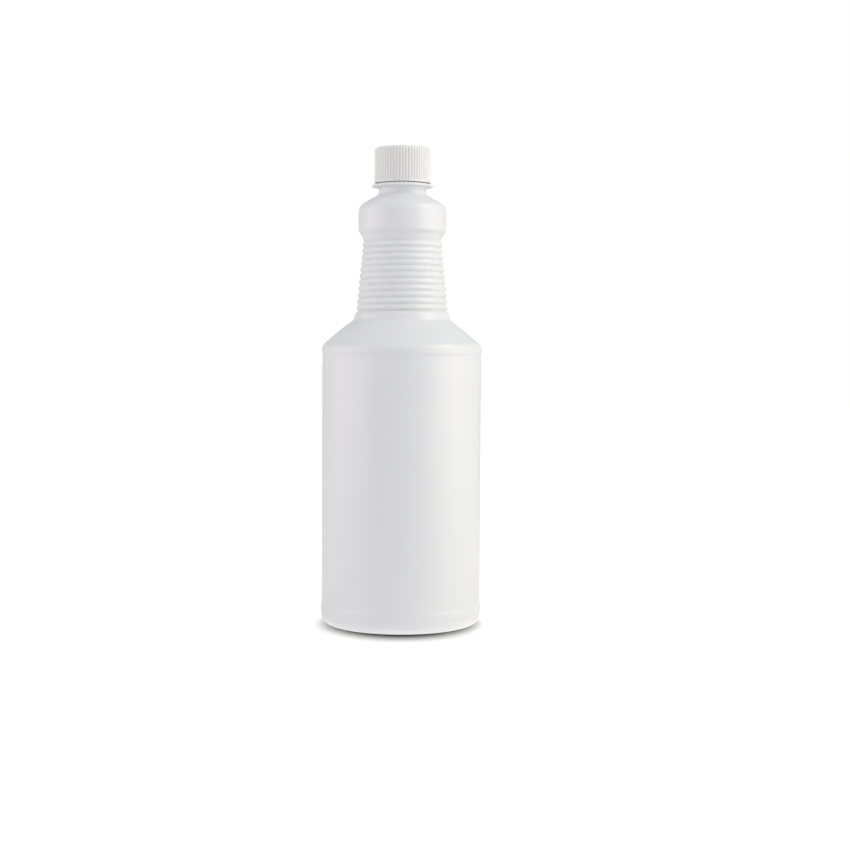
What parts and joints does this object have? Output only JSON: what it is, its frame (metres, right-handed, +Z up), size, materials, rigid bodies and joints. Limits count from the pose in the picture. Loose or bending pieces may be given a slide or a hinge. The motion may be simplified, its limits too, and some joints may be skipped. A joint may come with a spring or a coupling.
{
  "type": "odour remover bottle",
  "caption": "Round white quart bottle with a ribbed grip under a bulb, a support flange and a fluted screw cap that unscrews.",
  "frame": {"origin": "centre of the standing ring, on the surface that the bottle stands on", "axes": "+Z up along the bottle's axis, from the foot to the cap"},
  "size_m": [0.0858, 0.0858, 0.2549],
  "materials": {
    "bottle_plastic": "satin white HDPE, blow moulded",
    "cap_plastic": "satin white polypropylene, injection moulded",
    "liner_foam": "matt closed-cell foam"
  },
  "bodies": {
    "bottle_body": {"bottle": "bottle_plastic"},
    "liner_body": {"liner": "liner_foam"},
    "cap_body": {"cap": "cap_plastic"}
  },
  "joints": [
    {"name": "cap_rise", "type": "slide", "parent": "bottle_body", "child": "liner_body", "axis": [0, 0, 1], "range_m": [0, 0.0212]},
    {"name": "cap_turn", "type": "hinge", "parent": "liner_body", "child": "cap_body", "pos_m": [0, 0, 0.246], "axis": [0, 0, 1], "range_deg": [0, 1800]}
  ],
  "couplings": [
    {"joint": "cap_rise", "follows": "cap_turn", "m_per_rad": 0.0006737}
  ]
}
